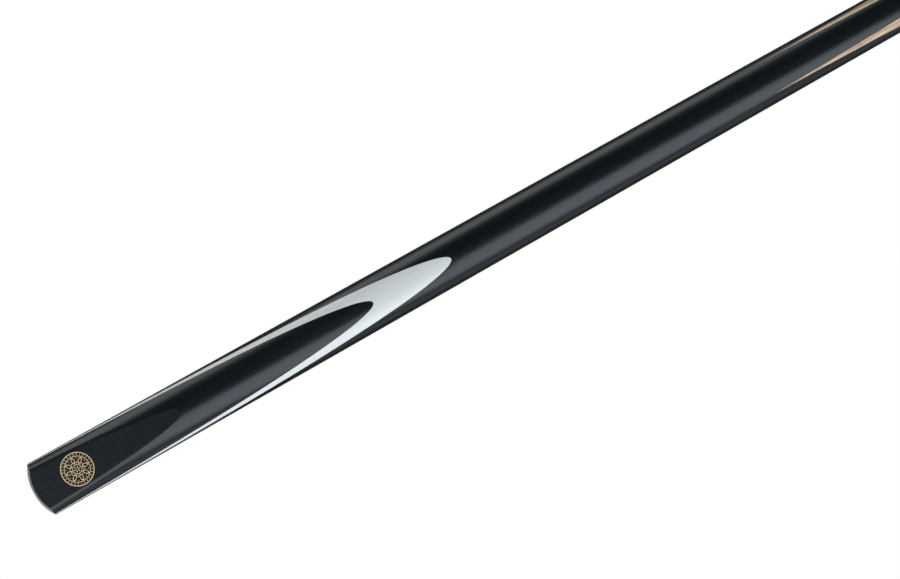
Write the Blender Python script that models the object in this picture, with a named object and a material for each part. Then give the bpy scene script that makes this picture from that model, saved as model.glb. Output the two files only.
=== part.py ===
"""A two-piece pool cue, hand spliced, with a badge on a flat at its butt end.

The cue stands upright on its butt: +Z runs along it to the tip, the origin is the centre of the butt
end, and the badge flat faces -Y.  All lengths are in metres and all angles in degrees.
"""

import math

import bmesh
import bpy
from mathutils import Matrix, Vector

# Overall sizes
CUE_LENGTH = 1.448
BUTT_LENGTH = 0.724
BUTT_DIAMETER = 0.02904
JOINT_DIAMETER = 0.0204
TIP_DIAMETER = 0.0095

# The space left between neighbouring pieces: a glue line, or the play of a joint
SEAM = 0.0003

# Domed butt end with a small flat middle
DOME_RADIUS = 0.0263
END_FLAT_DIAMETER = 0.0085
END_CHAMFER = 0.0005

# Four ebony splices round a square tapered ash core, turned a little from the badge
CORE_HALF_WIDTH_AT_END = 0.0023
POINTS_START_Z = 0.4185
SPLICE_TURN = -7.4

# White slip and ebony facing, laid on curved seats cut across the front of the butt
SLIP_TIP_Z = 0.2382
SLIP_TIP_SLOPE = 0.0751
SLIP_SEAT_AT_END = 0.0034
FACING_TIP_Z = 0.1938
FACING_TIP_SLOPE = 0.0657
FACING_SEAT_AT_END = 0.00405

# Badge flat, and the round badge let into it
FLAT_HEIGHT_AT_END = 0.0089
FLAT_RUN_OUT_Z = 0.085
BADGE_Z = 0.025
BADGE_DIAMETER = 0.018
BADGE_THICKNESS = 0.0016
BADGE_RIM_WIDTH = 0.0007
ENAMEL_THICKNESS = 0.0004

# Bore up the middle of the butt, with the threaded insert, a plug and the weight in it
BORE_DEPTH = 0.103
INSERT_DIAMETER = 0.0085
INSERT_LENGTH = 0.024
SOCKET_DIAMETER = 0.0062
PLUG_LENGTH = 0.016

# Screw joint half way along the cue
COLLAR_LENGTH = 0.012
TENON_DIAMETER = 0.017
FLANGE_THICKNESS = 0.0017
SCREW_DIAMETER = 0.0094
SCREW_LENGTH = 0.025
SCREW_NECK_DIAMETER = 0.0082
SCREW_NECK_LENGTH = 0.002
SCREW_PILOT_DIAMETER = 0.0076
SCREW_PILOT_LENGTH = 0.003
SCREW_ANCHOR_LENGTH = 0.030
SOCKET_BODY_DIAMETER = 0.013
SOCKET_END_ROOM = 0.003

# Ferrule and tip
FERRULE_LENGTH = 0.010
FERRULE_WALL = 0.0008
TIP_HEIGHT = 0.006
TIP_DOME_HEIGHT = 0.0022
TIP_BULGE = 0.0001

ROUND_STEPS = 48
SMALL_ROUND_STEPS = 32
SEAT_STEPS = 14
DOME_STEPS = 6
CUTTER_MARGIN = 0.006

SHAFT_LENGTH = CUE_LENGTH - BUTT_LENGTH
BORE_RADIUS = INSERT_DIAMETER / 2 + SEAM
COLLAR_BORE_RADIUS = TENON_DIAMETER / 2 + SEAM


def butt_radius(z):
    """Radius of the butt's straight taper at height z."""
    return (BUTT_DIAMETER + (JOINT_DIAMETER - BUTT_DIAMETER) * z / BUTT_LENGTH) / 2


FLAT_SLOPE = (butt_radius(FLAT_RUN_OUT_Z) - FLAT_HEIGHT_AT_END) / FLAT_RUN_OUT_Z


def shaft_radius(z):
    """Radius of the shaft's straight taper at height z above the joint."""
    return (JOINT_DIAMETER + (TIP_DIAMETER - JOINT_DIAMETER) * z / SHAFT_LENGTH) / 2


def core_half_width(z):
    """Half the side of the square ash core: its corners reach the surface at POINTS_START_Z."""
    at_points = butt_radius(POINTS_START_Z) / math.sqrt(2)
    return CORE_HALF_WIDTH_AT_END + (at_points - CORE_HALF_WIDTH_AT_END) * z / POINTS_START_Z


def seat_height(z, tip_z, tip_slope, height_at_end):
    """Distance from the axis to a curved splice seat, which runs out of the surface at tip_z."""
    below_tip = tip_z - z
    at_tip = butt_radius(tip_z)
    bend = (height_at_end - at_tip + tip_slope * tip_z) / tip_z**2
    return at_tip - tip_slope * below_tip + bend * below_tip**2


def slip_seat(z):
    return seat_height(z, SLIP_TIP_Z, SLIP_TIP_SLOPE, SLIP_SEAT_AT_END)


def facing_seat(z):
    return seat_height(z, FACING_TIP_Z, FACING_TIP_SLOPE, FACING_SEAT_AT_END)


def flat_height(z):
    """Distance from the axis to the badge flat."""
    return FLAT_HEIGHT_AT_END + FLAT_SLOPE * z


def make_material(name, colour, roughness, metallic):
    made = bpy.data.materials.new(name)
    made.use_nodes = True
    shader = made.node_tree.nodes["Principled BSDF"]
    shader.inputs["Base Color"].default_value = (*colour, 1.0)
    shader.inputs["Roughness"].default_value = roughness
    shader.inputs["Metallic"].default_value = metallic
    return made


def make_object(name, mesh, material=None, parent=None):
    made = bpy.data.objects.new(name, mesh)
    bpy.context.collection.objects.link(made)
    made.parent = parent
    if material:
        mesh.materials.append(material)
    return made


def mesh_from(name, shape, smooth):
    """Close the bmesh up into a mesh whose faces point outwards."""
    bmesh.ops.remove_doubles(shape, verts=shape.verts, dist=1e-7)
    bmesh.ops.recalc_face_normals(shape, faces=shape.faces)
    mesh = bpy.data.meshes.new(name)
    shape.to_mesh(mesh)
    shape.free()
    if smooth:
        mesh.shade_smooth()
        mesh.set_sharp_from_angle(angle=math.radians(30))
    return mesh


def turned(name, outline, steps=ROUND_STEPS, closed=False):
    """Spin an outline of (radius, z) points about the Z axis.

    An open outline starts and ends on the axis; a closed one makes a ring.
    """
    shape = bmesh.new()
    verts = [shape.verts.new((radius, 0, z)) for radius, z in outline]
    edges = [shape.edges.new(pair) for pair in zip(verts, verts[1:])]
    if closed:
        edges.append(shape.edges.new((verts[-1], verts[0])))
    bmesh.ops.spin(
        shape,
        geom=verts + edges,
        axis=(0, 0, 1),
        cent=(0, 0, 0),
        angle=math.tau,
        steps=steps,
        use_merge=True,
    )
    return mesh_from(name, shape, smooth=True)


def rod(name, radius, low, high, steps=SMALL_ROUND_STEPS):
    return turned(name, [(0, low), (radius, low), (radius, high), (0, high)], steps)


def ring(name, inner, low, high, outer_low, outer_high, steps=ROUND_STEPS):
    outline = [(inner, low), (outer_low, low), (outer_high, high), (inner, high)]
    return turned(name, outline, steps, closed=True)


def loft(name, lower, upper):
    """A solid between two outlines that have the same number of points."""
    shape = bmesh.new()
    low_verts = [shape.verts.new(point) for point in lower]
    high_verts = [shape.verts.new(point) for point in upper]
    shape.faces.new(low_verts)
    shape.faces.new(high_verts)
    for i in range(len(lower)):
        j = (i + 1) % len(lower)
        shape.faces.new((low_verts[i], low_verts[j], high_verts[j], high_verts[i]))
    return mesh_from(name, shape, smooth=False)


def across(name, outline):
    """A solid from an outline of (distance in front of the axis, z) points, carried across in X."""
    half_width = BUTT_DIAMETER / 2 + CUTTER_MARGIN
    sides = [[(x, -front, z) for front, z in outline] for x in (-half_width, half_width)]
    return loft(name, *sides)


def boolean(target, operation, cutter_mesh, matrix=None):
    """Cut the target with a hidden solid, or keep only what lies inside it."""
    cutter = make_object(cutter_mesh.name, cutter_mesh)
    if matrix:
        cutter.matrix_world = matrix
    cutter.hide_render = True
    cutter.display_type = "WIRE"
    modifier = target.modifiers.new(cutter.name, "BOOLEAN")
    modifier.operation = operation
    modifier.solver = "EXACT"
    modifier.object = cutter


def cut(target, cutter_mesh, matrix=None):
    boolean(target, "DIFFERENCE", cutter_mesh, matrix)


def keep_inside(target, cutter_mesh, matrix=None):
    boolean(target, "INTERSECT", cutter_mesh, matrix)


def butt_outline(top):
    """Outline of the butt's outer shape from its domed end up to height top."""
    flat_radius = END_FLAT_DIAMETER / 2
    dome_centre = math.sqrt(DOME_RADIUS**2 - flat_radius**2)
    edge_radius = butt_radius(0) - END_CHAMFER
    outline = [(0, 0)]
    for i in range(DOME_STEPS + 1):
        radius = flat_radius + (edge_radius - flat_radius) * i / DOME_STEPS
        outline.append((radius, dome_centre - math.sqrt(DOME_RADIUS**2 - radius**2)))
    side_z = outline[-1][1] + END_CHAMFER
    outline.append((butt_radius(side_z), side_z))
    outline.append((butt_radius(top), top))
    outline.append((0, top))
    return outline


def seat_outline(seat, low, high):
    """Points along a curved seat from one height to another."""
    heights = [low + (high - low) * i / SEAT_STEPS for i in range(SEAT_STEPS + 1)]
    return [(seat(z), z) for z in heights]


def seat_run(seat_tip):
    """Where a seat's outline starts and ends: past the butt end, and past its tip."""
    return -CUTTER_MARGIN, seat_tip + CUTTER_MARGIN


def bore_cutter(name):
    return rod(name, BORE_RADIUS, -CUTTER_MARGIN, BORE_DEPTH)


def make_core(materials):
    """The ash core: a tapered square stick that the splices leave, with a tenon for the collar."""
    tenon_z = BUTT_LENGTH - COLLAR_LENGTH - SEAM
    tenon_top = BUTT_LENGTH - FLANGE_THICKNESS - SEAM
    outline = [
        (0, BORE_DEPTH),
        (butt_radius(BORE_DEPTH), BORE_DEPTH),
        (butt_radius(tenon_z), tenon_z),
        (TENON_DIAMETER / 2, tenon_z),
        (TENON_DIAMETER / 2, tenon_top),
        (0, tenon_top),
    ]
    core = make_object("ash_butt_core", turned("ash_butt_core", outline), materials["ash"])
    low, high = BORE_DEPTH - CUTTER_MARGIN, BUTT_LENGTH + CUTTER_MARGIN
    ends = []
    for z in (low, high):
        side = core_half_width(z)
        ends.append([(side, side, z), (-side, side, z), (-side, -side, z), (side, -side, z)])
    turn = Matrix.Rotation(math.radians(SPLICE_TURN), 4, "Z")
    keep_inside(core, loft("core_square", *ends), turn)
    anchor_low = BUTT_LENGTH - SCREW_ANCHOR_LENGTH - SEAM
    hole = rod("screw_hole", SCREW_DIAMETER / 2 + SEAM, anchor_low, BUTT_LENGTH + CUTTER_MARGIN)
    cut(core, hole)


def make_splices(materials):
    """Four ebony splices, mitred to each other, on the four faces of the core."""
    places = (("front", 0), ("right", 90), ("back", 180), ("left", 270))
    slip_low, slip_high = seat_run(SLIP_TIP_Z)
    for place, angle in places:
        name = f"ebony_splice_{place}"
        top = BUTT_LENGTH - COLLAR_LENGTH - SEAM
        splice = make_object(name, turned(name, butt_outline(top)), materials["ebony"])
        outer = BUTT_DIAMETER / 2 + CUTTER_MARGIN
        mitre = SEAM / math.sqrt(2)
        ends = []
        for z in (-CUTTER_MARGIN, top + CUTTER_MARGIN):
            inner = core_half_width(z) + SEAM
            corners = [(inner, inner - mitre), (outer, outer - mitre)]
            section = [(side * across_it, -out, z) for side, pairs in ((-1, corners), (1, corners[::-1]))
                       for out, across_it in pairs]
            ends.append(section)
        turn = Matrix.Rotation(math.radians(SPLICE_TURN + angle), 4, "Z")
        keep_inside(splice, loft(f"{name}_wedge", *ends), turn)
        if place != "back":
            seat = [(front - SEAM, z) for front, z in seat_outline(slip_seat, slip_low, slip_high)]
            outline = seat + [(outer, slip_high), (outer, slip_low)]
            cut(splice, across(f"{name}_seat", outline))
        cut(splice, bore_cutter(f"{name}_bore"))


def make_slip(materials):
    """The white slip, between its own seat and the facing's."""
    name = "white_slip"
    slip = make_object(name, turned(name, butt_outline(BUTT_LENGTH)), materials["white"])
    outer = BUTT_DIAMETER / 2 + CUTTER_MARGIN
    low, high = seat_run(SLIP_TIP_Z)
    facing_high = seat_run(FACING_TIP_Z)[1]
    under = seat_outline(slip_seat, low, high)
    over = [(front - SEAM, z) for front, z in seat_outline(facing_seat, low, facing_high)]
    outline = under + [(outer, high), (outer, facing_high)] + over[::-1]
    keep_inside(slip, across("slip_layer", outline))
    cut(slip, bore_cutter("slip_bore"))


def badge_place():
    """Matrix of the badge: its centre on the flat, with its own +Z out of the flat."""
    out = Vector((0, -1, -FLAT_SLOPE)).normalized()
    up = Vector((0, -FLAT_SLOPE, 1)).normalized()
    right = up.cross(out)
    matrix = Matrix((right, up, out)).transposed().to_4x4()
    matrix.translation = (0, -flat_height(BADGE_Z), BADGE_Z)
    return matrix


def make_facing(materials):
    """The ebony facing on top of the slip, planed to the badge flat."""
    name = "ebony_facing"
    facing = make_object(name, turned(name, butt_outline(BUTT_LENGTH)), materials["ebony"])
    outer = BUTT_DIAMETER / 2 + CUTTER_MARGIN
    low, high = seat_run(FACING_TIP_Z)
    flat_top = (outer - FLAT_HEIGHT_AT_END) / FLAT_SLOPE
    under = seat_outline(facing_seat, low, high)
    outline = under + [(outer, high), (outer, flat_top), (flat_height(low), low)]
    keep_inside(facing, across("facing_block", outline))
    cut(facing, bore_cutter("facing_bore"))
    pocket_depth = BADGE_THICKNESS + SEAM
    pocket = rod("badge_pocket", BADGE_DIAMETER / 2 + SEAM, -pocket_depth, CUTTER_MARGIN, ROUND_STEPS)
    cut(facing, pocket, badge_place())


def make_badge(materials):
    """A brass plate with a raised rim, and black enamel inside the rim."""
    radius = BADGE_DIAMETER / 2
    well = radius - BADGE_RIM_WIDTH
    floor = -ENAMEL_THICKNESS - SEAM
    outline = [
        (0, -BADGE_THICKNESS),
        (radius, -BADGE_THICKNESS),
        (radius, 0),
        (well, 0),
        (well, floor),
        (0, floor),
    ]
    plate = make_object("badge_plate", turned("badge_plate", outline), materials["brass"])
    plate.matrix_world = badge_place()
    mesh = rod("badge_enamel", well - SEAM, -ENAMEL_THICKNESS, 0, ROUND_STEPS)
    enamel = make_object("badge_enamel", mesh, materials["enamel"])
    enamel.matrix_world = badge_place()


def make_butt_fittings(materials):
    """What lies in the bore: the threaded insert at the end, the plug behind it and the weight."""
    insert_mesh = ring(
        "extension_insert",
        SOCKET_DIAMETER / 2,
        0,
        INSERT_LENGTH,
        INSERT_DIAMETER / 2,
        INSERT_DIAMETER / 2,
        SMALL_ROUND_STEPS,
    )
    make_object("extension_insert", insert_mesh, materials["brass"])
    plug_low = INSERT_LENGTH + SEAM
    plug_high = plug_low + PLUG_LENGTH
    plug = rod("weight_plug", INSERT_DIAMETER / 2, plug_low, plug_high)
    make_object("weight_plug", plug, materials["dowel"])
    weight = rod("butt_weight", INSERT_DIAMETER / 2, plug_high + SEAM, BORE_DEPTH - SEAM)
    make_object("butt_weight", weight, materials["steel"])


def make_screw(materials):
    """The male half of the joint: anchor, flange, neck, thread and pilot in one turned piece."""
    radius = SCREW_DIAMETER / 2
    face = BUTT_LENGTH
    neck_top = face + SCREW_NECK_LENGTH
    top = face + SCREW_LENGTH
    pilot_low = top - SCREW_PILOT_LENGTH
    shoulder = radius - SCREW_PILOT_DIAMETER / 2
    outline = [
        (0, face - SCREW_ANCHOR_LENGTH),
        (radius, face - SCREW_ANCHOR_LENGTH),
        (radius, face - FLANGE_THICKNESS),
        (TENON_DIAMETER / 2, face - FLANGE_THICKNESS),
        (TENON_DIAMETER / 2, face),
        (SCREW_NECK_DIAMETER / 2, face),
        (SCREW_NECK_DIAMETER / 2, neck_top),
        (radius, neck_top + radius - SCREW_NECK_DIAMETER / 2),
        (radius, pilot_low - shoulder),
        (SCREW_PILOT_DIAMETER / 2, pilot_low),
        (SCREW_PILOT_DIAMETER / 2, top),
        (0, top),
    ]
    make_object("joint_screw", turned("joint_screw", outline, SMALL_ROUND_STEPS), materials["brass"])


def make_butt_collar(materials):
    """The brass collar at the top of the butt. Its origin is on the joint's axis, at the joint."""
    low = -COLLAR_LENGTH
    mesh = ring(
        "butt_collar",
        COLLAR_BORE_RADIUS,
        low,
        0,
        butt_radius(BUTT_LENGTH + low),
        butt_radius(BUTT_LENGTH),
    )
    collar = make_object("butt_collar", mesh, materials["brass"])
    collar.location = (0, 0, BUTT_LENGTH)


def make_shaft(materials):
    """The upper half. Its pieces hang on an empty at the joint, and their z starts there."""
    axis = bpy.data.objects.new("shaft_axis", None)
    bpy.context.collection.objects.link(axis)
    axis.location = (0, 0, BUTT_LENGTH)

    collar_top = SEAM + COLLAR_LENGTH
    mesh = ring(
        "shaft_collar",
        COLLAR_BORE_RADIUS,
        SEAM,
        collar_top,
        shaft_radius(SEAM),
        shaft_radius(collar_top),
    )
    make_object("shaft_collar", mesh, materials["brass"], axis)

    bore = SCREW_DIAMETER / 2 + SEAM
    flange_top = SEAM + FLANGE_THICKNESS
    body_top = SCREW_LENGTH + SOCKET_END_ROOM
    outline = [
        (bore, SEAM),
        (TENON_DIAMETER / 2, SEAM),
        (TENON_DIAMETER / 2, flange_top),
        (SOCKET_BODY_DIAMETER / 2, flange_top),
        (SOCKET_BODY_DIAMETER / 2, body_top),
        (bore, body_top),
    ]
    mesh = turned("joint_socket", outline, SMALL_ROUND_STEPS, closed=True)
    make_object("joint_socket", mesh, materials["brass"], axis)

    tip_low = SHAFT_LENGTH - TIP_HEIGHT
    ferrule_high = tip_low - SEAM
    ferrule_low = ferrule_high - FERRULE_LENGTH
    ferrule_bore = shaft_radius(ferrule_high) - FERRULE_WALL
    hole = SOCKET_BODY_DIAMETER / 2 + SEAM
    wood_low = flange_top + SEAM
    wood_step = collar_top + SEAM
    wood_high = ferrule_low - SEAM
    outline = [
        (0, body_top + SEAM),
        (hole, body_top + SEAM),
        (hole, wood_low),
        (TENON_DIAMETER / 2, wood_low),
        (TENON_DIAMETER / 2, wood_step),
        (shaft_radius(wood_step), wood_step),
        (shaft_radius(wood_high), wood_high),
        (ferrule_bore - SEAM, wood_high),
        (ferrule_bore - SEAM, ferrule_high),
        (0, ferrule_high),
    ]
    make_object("ash_shaft", turned("ash_shaft", outline), materials["ash"], axis)

    mesh = ring(
        "ferrule",
        ferrule_bore,
        ferrule_low,
        ferrule_high,
        shaft_radius(ferrule_low),
        shaft_radius(ferrule_high),
        SMALL_ROUND_STEPS,
    )
    make_object("ferrule", mesh, materials["brass"], axis)

    tip_radius = shaft_radius(SHAFT_LENGTH)
    side_high = SHAFT_LENGTH - TIP_DOME_HEIGHT
    dome_radius = (tip_radius**2 + TIP_DOME_HEIGHT**2) / (2 * TIP_DOME_HEIGHT)
    outline = [
        (0, tip_low),
        (tip_radius, tip_low),
        (tip_radius + TIP_BULGE, (tip_low + side_high) / 2),
        (tip_radius, side_high),
    ]
    for i in range(1, DOME_STEPS + 1):
        radius = tip_radius * (1 - i / DOME_STEPS)
        drop = dome_radius - math.sqrt(dome_radius**2 - radius**2)
        outline.append((radius, SHAFT_LENGTH - drop))
    make_object("leather_tip", turned("leather_tip", outline, SMALL_ROUND_STEPS), materials["leather"], axis)


def main():
    for thing in list(bpy.data.objects):
        bpy.data.objects.remove(thing)
    materials = {
        "ash": make_material("oiled_ash", (0.62, 0.40, 0.22), 0.35, 0.0),
        "ebony": make_material("lacquered_ebony", (0.010, 0.012, 0.014), 0.25, 0.0),
        "white": make_material("white_slip", (0.72, 0.76, 0.80), 0.3, 0.0),
        "brass": make_material("brass", (0.60, 0.38, 0.13), 0.3, 1.0),
        "enamel": make_material("black_enamel", (0.012, 0.012, 0.014), 0.2, 0.0),
        "dowel": make_material("beech_dowel", (0.55, 0.38, 0.24), 0.6, 0.0),
        "steel": make_material("plain_steel", (0.42, 0.42, 0.44), 0.45, 1.0),
        "leather": make_material("tip_leather", (0.10, 0.16, 0.26), 0.9, 0.0),
    }
    make_core(materials)
    make_splices(materials)
    make_slip(materials)
    make_facing(materials)
    make_badge(materials)
    make_butt_fittings(materials)
    make_screw(materials)
    make_butt_collar(materials)
    make_shaft(materials)


main()
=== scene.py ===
# %% [markdown]
# # A two-piece pool cue
# An English-style cue is 1.45 m of ash and ebony in two halves that screw together.
# Its lower half, the butt, has four ebony splices round an ash core, a white slip,
# an ebony facing planed to a small flat, and a round badge let into that flat.
# Each cell below makes one piece or one finish, and says how the real one is made.

# %% Load the frame
import math

import bpy
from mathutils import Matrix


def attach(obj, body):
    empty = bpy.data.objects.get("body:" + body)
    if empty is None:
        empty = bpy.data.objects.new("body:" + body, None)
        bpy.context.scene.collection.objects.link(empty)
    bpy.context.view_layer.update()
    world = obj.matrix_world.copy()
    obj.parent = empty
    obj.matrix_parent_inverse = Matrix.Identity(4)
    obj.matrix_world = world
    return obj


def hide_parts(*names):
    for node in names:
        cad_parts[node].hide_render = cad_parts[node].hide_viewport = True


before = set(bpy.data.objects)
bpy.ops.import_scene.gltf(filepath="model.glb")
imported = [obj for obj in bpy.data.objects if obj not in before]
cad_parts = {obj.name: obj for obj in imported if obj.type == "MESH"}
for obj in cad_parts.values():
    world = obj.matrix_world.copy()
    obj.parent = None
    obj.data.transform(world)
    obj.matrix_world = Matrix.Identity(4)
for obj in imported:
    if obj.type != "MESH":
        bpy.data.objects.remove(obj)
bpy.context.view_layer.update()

# %% [markdown]
# ## The cue's main sizes
# A cue is two straight tapers end to end. Everything else hangs on these few lengths,
# in metres, with Z up the cue from its butt end and the badge facing -Y.

# %% Sizes of the two tapers
CUE_LENGTH = 1.448
BUTT_LENGTH = 0.724
BUTT_DIAMETER = 0.02904
JOINT_DIAMETER = 0.0204
TIP_DIAMETER = 0.0095
SEAM = 0.0003   # the glue line or play between two pieces
GLUE = 0.0002   # the same inside a joint
HAIR = 0.00001   # keeps two faces from lying in each other


def butt_radius(z):
    """Radius of the lower half at a height z."""
    return (BUTT_DIAMETER + (JOINT_DIAMETER - BUTT_DIAMETER) * z / BUTT_LENGTH) / 2


def shaft_radius(z):
    """Radius of the upper half at a height z."""
    above_joint = z - BUTT_LENGTH
    drop = (JOINT_DIAMETER - TIP_DIAMETER) * above_joint / (CUE_LENGTH - BUTT_LENGTH)
    return (JOINT_DIAMETER - drop) / 2


print("radius at the butt, the joint and the tip:", butt_radius(0), butt_radius(BUTT_LENGTH),
      shaft_radius(CUE_LENGTH))

# %% [markdown]
# ## A way to write shader sums
# A finish is a graph of small nodes. Written node by node it is hard to read, so this
# class wraps one socket and lets Python's own + - * / build the Math nodes.

# %% The wire and the finish
class Wire:
    """One shader socket that takes part in ordinary sums."""

    def __init__(self, finish, socket):
        self.finish = finish
        self.socket = socket

    def math(self, operation, first, second=0.0):
        return self.finish.node("ShaderNodeMath", {"operation": operation}, {0: first, 1: second})

    def __add__(self, other):
        return self.math("ADD", self, other)

    def __radd__(self, other):
        return self.math("ADD", other, self)

    def __sub__(self, other):
        return self.math("SUBTRACT", self, other)

    def __rsub__(self, other):
        return self.math("SUBTRACT", other, self)

    def __mul__(self, other):
        return self.math("MULTIPLY", self, other)

    def __rmul__(self, other):
        return self.math("MULTIPLY", other, self)

    def __truediv__(self, other):
        return self.math("DIVIDE", self, other)

    def fraction(self):
        return self.math("FRACT", self)

    def larger(self, other):
        return self.math("MAXIMUM", self, other)

    def ramp(self, low, high):
        """0 below low, 1 above high, and smooth between."""
        sockets = {"Value": self, "From Min": low, "From Max": high}
        return self.finish.node("ShaderNodeMapRange", {"interpolation_type": "SMOOTHSTEP"}, sockets)


class Finish:
    """The node tree of one material, or of the world."""

    def __init__(self, owner):
        owner.use_nodes = True
        self.owner = owner
        self.tree = owner.node_tree
        self.tree.nodes.clear()

    def node(self, kind, settings=None, sockets=None, give=0):
        """Add a node: its settings first, then its sockets' values or links."""
        made = self.tree.nodes.new(kind)
        for name, value in (settings or {}).items():
            setattr(made, name, value)
        for name, value in (sockets or {}).items():
            if isinstance(value, Wire):
                self.tree.links.new(value.socket, made.inputs[name])
            else:
                made.inputs[name].default_value = value
        return Wire(self, made.outputs[give]) if made.outputs else None

    def place(self):
        """Where a point lies on the piece, in metres."""
        return self.node("ShaderNodeTexCoord", give="Object")

    def part(self, vector, axis):
        return self.node("ShaderNodeSeparateXYZ", None, {0: vector}, give=axis)

    def scaled(self, vector, by):
        return self.node("ShaderNodeVectorMath", {"operation": "MULTIPLY"}, {0: vector, 1: by})

    def noise(self, vector, by, detail, roughness=0.55):
        """A cloudy pattern with so many clouds to the metre along each axis."""
        sockets = {"Vector": self.scaled(vector, by), "Scale": 1.0, "Detail": detail,
                   "Roughness": roughness}
        return self.node("ShaderNodeTexNoise", None, sockets)

    def blend(self, factor, first, second):
        """Mix two colours."""
        settings = {"data_type": "RGBA"}
        return self.node("ShaderNodeMix", settings, {0: factor, 6: first, 7: second}, give=2)

    def bump(self, height, distance):
        sockets = {"Height": height, "Distance": distance, "Strength": 1.0}
        return self.node("ShaderNodeBump", None, sockets)

    def rays(self):
        """Two wires: 1 where the eye looks, and 1 where a gloss does."""
        kind = "ShaderNodeLightPath"
        eye = self.node(kind, give="Is Camera Ray")
        mirrored = self.node(kind, give="Is Glossy Ray")
        return eye, mirrored.larger(self.node(kind, give="Is Transmission Ray"))

    def surface(self, sockets):
        """Close the tree with a Principled shader."""
        shader = self.node("ShaderNodeBsdfPrincipled", None, sockets)
        self.node("ShaderNodeOutputMaterial", None, {"Surface": shader})


def new_finish(name):
    return Finish(bpy.data.materials.new(name))


print("the finish kit is ready")

# %% [markdown]
# ## Ebony under satin lacquer
# Ebony is so dense and dark that its grain shows only as faint brown-black streaks along
# the cue. The lacquer over it does the work: it turns every lamp into one soft stripe.
# The slight blue of the gloss is the lacquer's, so it is set on the specular tint.

# %% Make the ebony
def ebony_finish():
    made = new_finish("ebony")
    place = made.place()
    streaks = made.noise(place, (900, 900, 9), 5.0)
    pores = made.noise(place, (5200, 5200, 260), 2.0).ramp(0.60, 0.78)
    dark = (0.0022, 0.0044, 0.0060, 1.0)
    lighter = (0.0056, 0.0080, 0.0096, 1.0)
    colour = made.blend(streaks.ramp(0.35, 0.75), dark, lighter)
    wear = made.noise(place, (60, 60, 14), 4.0)
    made.surface({
        "Base Color": colour,
        "Roughness": 0.27 + 0.05 * streaks + 0.03 * wear,
        "Specular IOR Level": 0.71,
        "Specular Tint": (0.79, 0.895, 1.0, 1.0),
        "Normal": made.bump(pores * -0.6 + streaks * 0.3, 0.00002),
    })
    return made.owner


ebony = ebony_finish()
print(ebony.name, "has", len(ebony.node_tree.nodes), "nodes")

# %% [markdown]
# ## Ash, oiled and waxed
# Ash grows one layer a year: a dark porous line, then pale dense wood. A plank's layers
# are nearly flat, and where the taper cuts across them they show as arrowheads, the
# chevrons that players look for. So the layers here are slightly tilted planes, and the
# chevrons come by themselves. Open pores lie as short dark dashes in the porous lines,
# and longer brown streaks run through the pale wood between them.

# %% Make the ash
def ash_finish(name, tilt, layer, turn):
    """Ash whose growth layers are `layer` metres thick and rise by `tilt` up the cue."""
    made = new_finish(name)
    place = made.place()
    x = made.part(place, 0)
    y = made.part(place, 1)
    z = made.part(place, 2)
    sway = made.noise(place, (30, 30, 5), 3.0) - 0.5
    depth = x * math.sin(turn) + y * math.cos(turn) + z * tilt + sway * 0.0022
    year = (depth / layer).fraction()
    porous = 1.0 - year.ramp(0.02, 0.55)
    start = year.ramp(0.0, 0.05)
    ring = porous * start
    fibres = made.noise(place, (2600, 2600, 40), 5.0)
    dashes = made.noise(place, (3800, 3800, 130), 2.0).ramp(0.53, 0.66)
    streaks = made.noise(place, (700, 700, 26), 4.0).ramp(0.47, 0.62)
    pores = dashes * (ring.larger(streaks) * 0.85 + 0.15)
    patches = made.noise(place, (40, 40, 4), 3.0)
    pale = (0.74, 0.575, 0.430, 1.0)
    tan = (0.55, 0.400, 0.255, 1.0)
    brown = (0.20, 0.122, 0.060, 1.0)
    body = made.blend(fibres.ramp(0.3, 0.75) * 0.55 + patches.ramp(0.35, 0.7) * 0.35, pale, tan)
    lined = made.blend((ring * 0.62).larger(streaks * 0.72), body, brown)
    colour = made.blend(pores * 0.75, lined, (0.19, 0.095, 0.050, 1.0))
    made.surface({
        "Base Color": colour,
        "Roughness": 0.42 + 0.12 * fibres + 0.15 * pores,
        "Coat Weight": 0.25,
        "Coat Roughness": 0.35,
        "Normal": made.bump(fibres * 0.25 - pores, 0.00005),
    })
    return made.owner


LAYER = 0.0021
ash_butt = ash_finish("ash_butt", 0.012, LAYER, 0.5)
ash_shaft = ash_finish("ash_shaft", 0.010, LAYER, 0.0)
print("growth layers of", 1000 * LAYER, "mm in", ash_butt.name, "and", ash_shaft.name)

# %% [markdown]
# ## The white slip
# The slip is a veneer of dyed white sycamore, sometimes of plastic, glued in as one
# bright line. Under lacquer it looks slightly blue beside the ebony.

# %% Make the white
def slip_finish():
    made = new_finish("white_slip")
    place = made.place()
    fibres = made.noise(place, (1800, 1800, 30), 4.0)
    stain = made.noise(place, (120, 120, 20), 3.0)
    bright = (0.745, 0.800, 0.830, 1.0)
    shaded = (0.655, 0.710, 0.745, 1.0)
    made.surface({
        "Base Color": made.blend(fibres.ramp(0.3, 0.8) * 0.6 + stain * 0.3, bright, shaded),
        "Roughness": 0.26 + 0.06 * fibres,
        "Normal": made.bump(fibres, 0.00001),
    })
    return made.owner


white = slip_finish()
print(white.name, "has", len(white.node_tree.nodes), "nodes")

# %% [markdown]
# ## Turned brass
# Collars, ferrule, screw and insert come off a lathe, which leaves very fine rings round
# the axis. Hands then dull the brass in soft patches, browner where it is never rubbed.

# %% Make the brass
BRASS_ROUGHNESS = 0.20
TOOL_MARK_SPACING = 0.00012


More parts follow.
